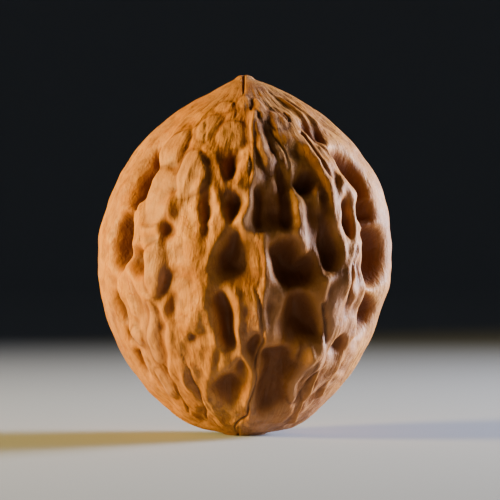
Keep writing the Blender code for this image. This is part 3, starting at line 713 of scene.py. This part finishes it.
# the shell: every point of the body is pushed along its normal by the sum of all the reliefs, the whole
# is fitted to the solid's box, and its shoulders are settled
def buildShell():
    columns, rows = shell["columns"], shell["rows"]
    evenTurns = np.arange(columns) * 360 / columns - 180
    frontTurns = evenTurns - shell["crowding"] * np.degrees(np.sin(np.radians(evenTurns)))
    turns, along = np.meshgrid(frontTurns, np.linspace(0, outlineAlong[-1], rows + 1)[1:-1])
    turns, along = turns.ravel(), along.ravel()
    body = bodyPoints(turns, along)
    height = body[:, 2]
    radius = np.hypot(body[:, 0], body[:, 1])
    outward = bodyDirections(turns, along)[2]

    # where each point looks for its marks, which run straight near the tip and the foot
    wander = markWander(body)
    calm = smoothStep(1.0, 6.0, radius)
    marked = body + wander * calm[:, None]
    depths = hollowRelief(marked)
    veins, grooves = lineRelief(marked)
    veins = blurGrid(veins, 2)
    padRise, padEdges = padRelief(marked)

    # the rims stand out along the XZ plane as a flat-topped bell, ribbed by a sine, with a seam on top
    rimBell = bell(marked[:, 1], shell["rimHalfWidth"], 4)
    ribs = shell["ribRise"] * np.sin(6.5 * marked[:, 1] + gradientNoise(body, 5.0, 1.9))
    seamHalfWidth, seamDepth = shell["seam"]
    seam = seamDepth * bell(marked[:, 1], seamHalfWidth) * smoothStep(0.5, 3.0, np.abs(marked[:, 0]))
    offRim = smoothStep(0.9, 1.9, np.abs(marked[:, 1] / shell["rimHalfWidth"]))

    # flow coordinates run round and up the body and pinch together at the tip, as the fibres do
    angles = np.radians(turns)
    flow = np.stack([16 * np.sin(angles), -16 * np.cos(angles), along], axis=1) + wander
    wrinkles = wrinkleRelief(flow) * smoothStep(2.5, 9.0, radius)
    cracks = tipCracks(flow, height) * offRim

    # the broad forms are softened as if worn, the ground round the hollows sags towards them, and the
    # middle of the front lies low
    broad = 0.75 * blurGrid(padRise - depths, 3) - shell["sag"] * blurGrid(depths, 36)
    valley = shell["valley"] * band((-22, 4, 26, 35), turns) * band((2, 8, 30, 36), height)
    relief = (shell["rimRise"] + ribs) * rimBell + broad + veins
    relief -= grooves + seam + tipFolds(turns, flow, height) + valley + shell["crackDepth"] * cracks
    quiet = 1 - 0.6 * smoothStep(0.3, 1.2, depths)
    nearTip = smoothStep(30, 37, height)
    relief += (wrinkles - 0.5 * shell["wrinkle"]) * offRim * quiet * (1 - 0.75 * nearTip)
    for size, rise in shell["swell"]:
        relief += rise * gradientNoise(body, size, 3.3) * (0.4 + 0.6 * offRim) * (1 - 0.45 * nearTip)
    for size, rise in shell["grain"]:
        relief += rise * gradientNoise(flow * (1.0, 1.0, 0.6), size, 7.7) * calm

    # the foot stays flat but for its groove, and the tip keeps its height
    settle = band((0.05, 1.4, 40.2, 41.6), height)
    relief = relief * settle
    points = body + outward * relief[:, None]
    points[:, 2] = np.maximum(points[:, 2], 0.0)

    # the median groove cuts right across the foot and cleaves the tip
    right, halfWidth, depth = shell["footGroove"]
    footGroove = bell(points[:, 0] - right, halfWidth) * (1 - smoothStep(0.6, 1.6, height))
    points[:, 2] += depth * footGroove
    right, halfWidth, depth = shell["tipCleft"]
    tipCleft = bell(points[:, 0] - right, halfWidth) * smoothStep(39.6, 41.0, height)
    points -= outward * (depth * tipCleft)[:, None]

    wide = (boxHigh - boxLow) / np.ptp(points, axis=0)
    points = settled((points - points.min(axis=0)) * wide + boxLow)

    darkLines = grooves + 0.075 * cracks + seam + 0.35 * footGroove * settle
    masks = {
        # partly the shell's own darker colour in its pits, partly painted shade: how deep the blurred
        # hollows go
        "pitStainAndShade": np.clip(blurGrid(depths, 3) / 1.2, 0, 1),
        "groove": np.clip(darkLines / 0.4, 0, 1),
        "vein": np.clip(veins / 0.35, 0, 1),
        "pad": np.clip(padRise / 0.4, 0, 1),
        "edge": padEdges,
        # steers painted highlight on what stands above its close surroundings and painted shade in what
        # lies under them
        "creviceShadeAndCrestHighlight": (blurGrid(relief, 10) - relief) / 0.25,  # how far it lies under its close surroundings
        # steers painted shade in what lies under its wider surroundings
        "valleyShade": (blurGrid(relief, 60) - relief) / 0.9,  # and under its wider surroundings
    }
    return gridMesh(points, masks, flow)


# four-sided faces between neighbouring rings of points, closed round the columns
def ringFaces(columns, rings):
    column = np.arange(columns)
    following = (column + 1) % columns
    ring = np.arange(rings - 1)[:, None] * columns
    corners = (ring + column, ring + following, ring + columns + following, ring + columns + column)
    return np.stack(corners, axis=-1).reshape(-1, 4)


# the grid as a closed mesh: faces between its rings, and a fan of triangles from the first ring to the
# foot's centre and from the last to the tip; the masks and the flow go with it as attributes
def gridMesh(points, masks, flow):
    columns, rings = shell["columns"], shell["rows"] - 1
    foot = points[:columns].mean(axis=0)
    tip = points[-columns:].mean(axis=0) + (0, 0, 0.01)
    places = np.concatenate([points, [foot], [tip]]) * mm

    column = np.arange(columns)
    following = (column + 1) % columns
    last = (rings - 1) * columns
    footFan = np.stack([following, column, np.full(columns, rings * columns)], axis=1)
    tipFan = np.stack([last + column, last + following, np.full(columns, rings * columns + 1)], axis=1)
    faces = ringFaces(columns, rings).tolist() + footFan.tolist() + tipFan.tolist()
    mesh = bpy.data.meshes.new("walnutShell")
    mesh.from_pydata(places, [], faces)
    mesh.shade_smooth()

    for name, values in masks.items():
        ends = [values[:columns].mean(), values[-columns:].mean()]
        layer = mesh.attributes.new(name, "FLOAT", "POINT")
        layer.data.foreach_set("value", np.concatenate([values, ends]).astype(np.float32))
    ends = [flow[:columns].mean(axis=0), flow[-columns:].mean(axis=0)]
    layer = mesh.attributes.new("flow", "FLOAT_VECTOR", "POINT")
    layer.data.foreach_set("vector", np.concatenate([flow, ends]).astype(np.float32).ravel())
    mesh.update()
    return mesh


# Shell material

shellFinish = {
    "tan": (0.60, 0.245, 0.045, 1),
    "ochre": (0.46, 0.16, 0.016, 1),
    "golden": (0.36, 0.12, 0.012, 1),
    "pinkTan": (0.42, 0.18, 0.07, 1),
    "brown": (0.15, 0.045, 0.010, 1),
    "rust": (0.34, 0.095, 0.012, 1),
    "dark": (0.035, 0.014, 0.007, 1),
    # painted highlight, laid on the raised crests
    "crestHighlight": (0.68, 0.29, 0.07, 1),
    "smoothest": 0.50,  # roughness, which a noise varies between these two
    "roughest": 0.68,
    "gloss": 0.27,
    "bumpDepth": 0.00022,  # metres
}


# a small helper round one node tree, so that each node is one short call
class NodeMaker:
    def __init__(self, tree):
        self.tree = tree

    def add(self, kind, **inputs):
        node = self.tree.nodes.new(kind)
        for name, value in inputs.items():
            self.put(node.inputs[name.replace("_", " ")], value)
        return node

    def put(self, socket, value):
        if isinstance(value, bpy.types.NodeSocket):
            self.tree.links.new(value, socket)
        else:
            socket.default_value = value

    def attribute(self, name, output="Fac"):
        node = self.tree.nodes.new("ShaderNodeAttribute")
        node.attribute_name = name
        return node.outputs[output]

    # noise over a place that is first scaled along its three directions
    def noise(self, vector, scales, detail=4.0, roughness=0.55):
        scaled = self.add("ShaderNodeMapping", Vector=vector, Scale=scales).outputs["Vector"]
        inputs = {"Vector": scaled, "Scale": 1.0, "Detail": detail, "Roughness": roughness}
        return self.add("ShaderNodeTexNoise", **inputs).outputs["Fac"]

    # low to high becomes toLow to toHigh, and the ends hold beyond them
    def ranged(self, value, low, high, toLow, toHigh):
        inputs = {"Value": value, "From_Min": low, "From_Max": high, "To_Min": toLow, "To_Max": toHigh}
        return self.add("ShaderNodeMapRange", **inputs).outputs["Result"]

    def math(self, operation, first, second):
        node = self.tree.nodes.new("ShaderNodeMath")
        node.operation = operation
        self.put(node.inputs[0], first)
        self.put(node.inputs[1], second)
        return node.outputs[0]

    def mix(self, factor, first, second):
        node = self.tree.nodes.new("ShaderNodeMix")
        node.data_type = "RGBA"
        for socket, value in ((node.inputs[0], factor), (node.inputs[6], first), (node.inputs[7], second)):
            self.put(socket, value)
        return node.outputs[2]


# tan, with one colour after another laid over it where a noise or one of the shell's own masks says so;
# some masks lay painted shade in the hollows and crevices and a painted highlight on the crests
def shellColour(make, place, flow):
    patches = make.noise(place, (220, 220, 160), 3.0)
    blush = make.noise(place, (150, 150, 120), 2.0)
    fibres = make.noise(flow, (3.2, 3.2, 0.35), 5.0, 0.65)
    specks = make.noise(place, (900, 900, 700))
    threads = make.noise(flow, (0.45, 0.45, 0.22), 3.0)
    threads = make.math("ABSOLUTE", make.math("SUBTRACT", threads, 0.5), 0.0)  # thin lines where it is 0
    pitStainAndShade, creviceShadeAndCrestHighlight = make.attribute("pitStainAndShade"), make.attribute("creviceShadeAndCrestHighlight")
    layers = (  # what steers it, from where to where, how much of the colour at those two, the colour
        (patches, 0.38, 0.62, 0.0, 1.0, "ochre"),
        (blush, 0.46, 0.62, 0.0, 0.75, "pinkTan"),
        (fibres, 0.48, 0.75, 0.0, 0.5, "brown"),
        (specks, 0.48, 0.7, 0.0, 0.6, "brown"),
        (threads, 0.002, 0.018, 0.65, 0.0, "rust"),
        (make.attribute("pad"), 0.0, 1.0, 0.0, 0.65, "pinkTan"),
        (make.attribute("vein"), 0.0, 1.0, 0.0, 0.6, "ochre"),
        # painted highlight: a light tan on the crests that stand above their close surroundings
        (creviceShadeAndCrestHighlight, -0.3, -1.2, 0.0, 0.25, "crestHighlight"),
        (make.attribute("edge"), 0.0, 1.0, 0.0, 0.75, "brown"),
        # painted shade: golden in the valleys that lie under their wider surroundings
        (make.attribute("valleyShade"), 0.05, 0.6, 0.0, 0.75, "golden"),
        # partly the shell's own darker brown in its pits, partly painted shade: golden, then brown where
        # they are deeper
        (pitStainAndShade, 0.15, 0.5, 0.0, 0.7, "golden"),
        (pitStainAndShade, 0.35, 1.0, 0.0, 0.8, "brown"),
        # painted shade: brown in the crevices that lie under their close surroundings
        (creviceShadeAndCrestHighlight, 0.0, 0.8, 0.0, 0.8, "brown"),
        (make.attribute("groove"), 0.15, 1.0, 0.0, 0.6, "dark"),
    )
    colour = shellFinish["tan"]
    for guide, low, high, least, most, paint in layers:
        colour = make.mix(make.ranged(guide, low, high, least, most), colour, shellFinish[paint])
    return colour


# fine relief: fibres along the flow, soft knobs and small pores
def shellBump(make, place, flow):
    fibres = make.noise(flow, (2.6, 2.6, 0.5), 6.0, 0.6)
    pores = make.noise(place, (2600, 2600, 2600), 3.0)
    knobs = make.noise(place, (1100, 1100, 800))
    height = make.math("ADD", make.math("MULTIPLY", fibres, 0.6), make.math("MULTIPLY", pores, 0.15))
    height = make.math("ADD", height, make.math("MULTIPLY", knobs, 0.7))
    bump = make.add("ShaderNodeBump", Height=height, Strength=1.0, Distance=shellFinish["bumpDepth"])
    return bump.outputs["Normal"]


def shellMaterial():
    material = bpy.data.materials.new("walnutShell")
    material.use_nodes = True
    tree = material.node_tree
    make = NodeMaker(tree)
    place = tree.nodes.new("ShaderNodeTexCoord").outputs["Object"]
    flow = make.attribute("flow", "Vector")
    worn = make.noise(place, (600, 600, 600), 3.0)
    roughness = make.ranged(worn, 0.3, 0.7, shellFinish["smoothest"], shellFinish["roughest"])
    surface = tree.nodes["Principled BSDF"]
    make.put(surface.inputs["Base Color"], shellColour(make, place, flow))
    make.put(surface.inputs["Roughness"], roughness)
    make.put(surface.inputs["Specular IOR Level"], shellFinish["gloss"])
    make.put(surface.inputs["Normal"], shellBump(make, place, flow))
    return material


shellMesh = buildShell()
walnut = bpy.data.objects.new("walnut", shellMesh)
bpy.context.scene.collection.objects.link(walnut)
shellMesh.materials.append(shellMaterial())
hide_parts(nodeName)
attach(walnut, "root")
triangles = sum(len(face.vertices) - 2 for face in shellMesh.polygons)
print("shell:", len(shellMesh.vertices), "points,", triangles, "triangles")


# Floor, lights and camera

stage = {
    "floorRadius": 900.0,
    "wallRadius": 1500.0,
    "wallHeight": 1300.0,
    "colour": (0.34, 0.36, 0.39, 1),
    "roughness": 0.9,
    "lightDistance": 0.5,  # metres from the shell's middle
    "lightSpread": 50,  # degrees of each lamp's beam
    "worldColour": (0.86, 0.92, 1.0, 1),
    "worldStrength": 0.05,
}

# each light: its turn, height over the shell's middle and width in metres, power and colour
lights = {
    "keyLight": (-79, 0.10, 0.13, 0.82, (1.0, 0.74, 0.22)),
    "coolLight": (109, 0.09, 0.16, 1.3, (0.74, 0.80, 1.0)),
}

view = {
    "lens": 150,
    "frameWidth": 58.5,  # how much of the shell's plane the camera takes in
    "aimRight": 0.585,
    "aimUp": 0.53,
}


# a round floor whose edge sweeps up into a wall: a quarter ellipse turned round the upright axis
def sweepMesh():
    across = np.linspace(0, stage["floorRadius"], 12)[1:]
    bend = np.linspace(0, math.pi / 2, 24)[1:]
    wall = stage["floorRadius"] + (stage["wallRadius"] - stage["floorRadius"]) * np.sin(bend)
    radii = np.concatenate([across, wall])
    heights = np.concatenate([across * 0, stage["wallHeight"] * (1 - np.cos(bend))])
    columns, rings = 96, len(radii)
    angles = np.arange(columns) * 2 * math.pi / columns
    upright = np.repeat(heights[:, None], columns, axis=1)
    points = np.stack([np.outer(radii, np.cos(angles)), np.outer(radii, np.sin(angles)), upright], axis=-1)
    points = np.concatenate([points.reshape(-1, 3), [[0, 0, 0]]]) * mm
    column = np.arange(columns)
    centre = np.stack([column, (column + 1) % columns, np.full(columns, rings * columns)], axis=1)
    faces = ringFaces(columns, rings)[:, ::-1].tolist() + centre.tolist()  # turned to face up
    mesh = bpy.data.meshes.new("sweep")
    mesh.from_pydata(points, [], faces)
    mesh.shade_smooth()
    mesh.update()
    return mesh


def addStage():
    material = bpy.data.materials.new("paleFloor")
    material.use_nodes = True
    surface = material.node_tree.nodes["Principled BSDF"]
    surface.inputs["Base Color"].default_value = stage["colour"]
    surface.inputs["Roughness"].default_value = stage["roughness"]
    mesh = sweepMesh()
    mesh.materials.append(material)
    floor = bpy.data.objects.new("floor", mesh)
    bpy.context.scene.collection.objects.link(floor)


# a square lamp that faces the shell's middle
def addSoftLight(name, turn, height, size, power, colour):
    light = bpy.data.lights.new(name, "AREA")
    light.size = size
    light.energy = power
    light.color = colour
    light.spread = math.radians(stage["lightSpread"])
    lamp = bpy.data.objects.new(name, light)
    angle = math.radians(turn)
    distance = stage["lightDistance"]
    middle = Vector((0, 0, (boxLow[2] + boxHigh[2]) / 2 * mm))
    lamp.location = middle + Vector((distance * math.sin(angle), -distance * math.cos(angle), height))
    lamp.rotation_euler = (middle - lamp.location).to_track_quat("-Z", "Y").to_euler()
    bpy.context.scene.collection.objects.link(lamp)


def addWorld():
    world = bpy.data.worlds.new("studio")
    world.use_nodes = True
    background = world.node_tree.nodes["Background"]
    background.inputs["Color"].default_value = stage["worldColour"]
    background.inputs["Strength"].default_value = stage["worldStrength"]
    bpy.context.scene.world = world


# the camera looks level along +Y, from where its lens takes in the frame's width
def addCamera():
    camera = bpy.data.cameras.new("camera")
    camera.lens = view["lens"]
    camera.clip_start = 0.01
    distance = view["lens"] * view["frameWidth"] / camera.sensor_width
    middle = (boxLow[2] + boxHigh[2]) / 2
    seat = bpy.data.objects.new("camera", camera)
    seat.location = Vector((view["aimRight"], -distance, middle + view["aimUp"])) * mm
    seat.rotation_euler = (math.pi / 2, 0, 0)
    bpy.context.scene.collection.objects.link(seat)
    bpy.context.scene.camera = seat


addStage()
for lampName, settings in lights.items():
    addSoftLight(lampName, *settings)
addWorld()
addCamera()
print("stage: floor, two lights and camera")
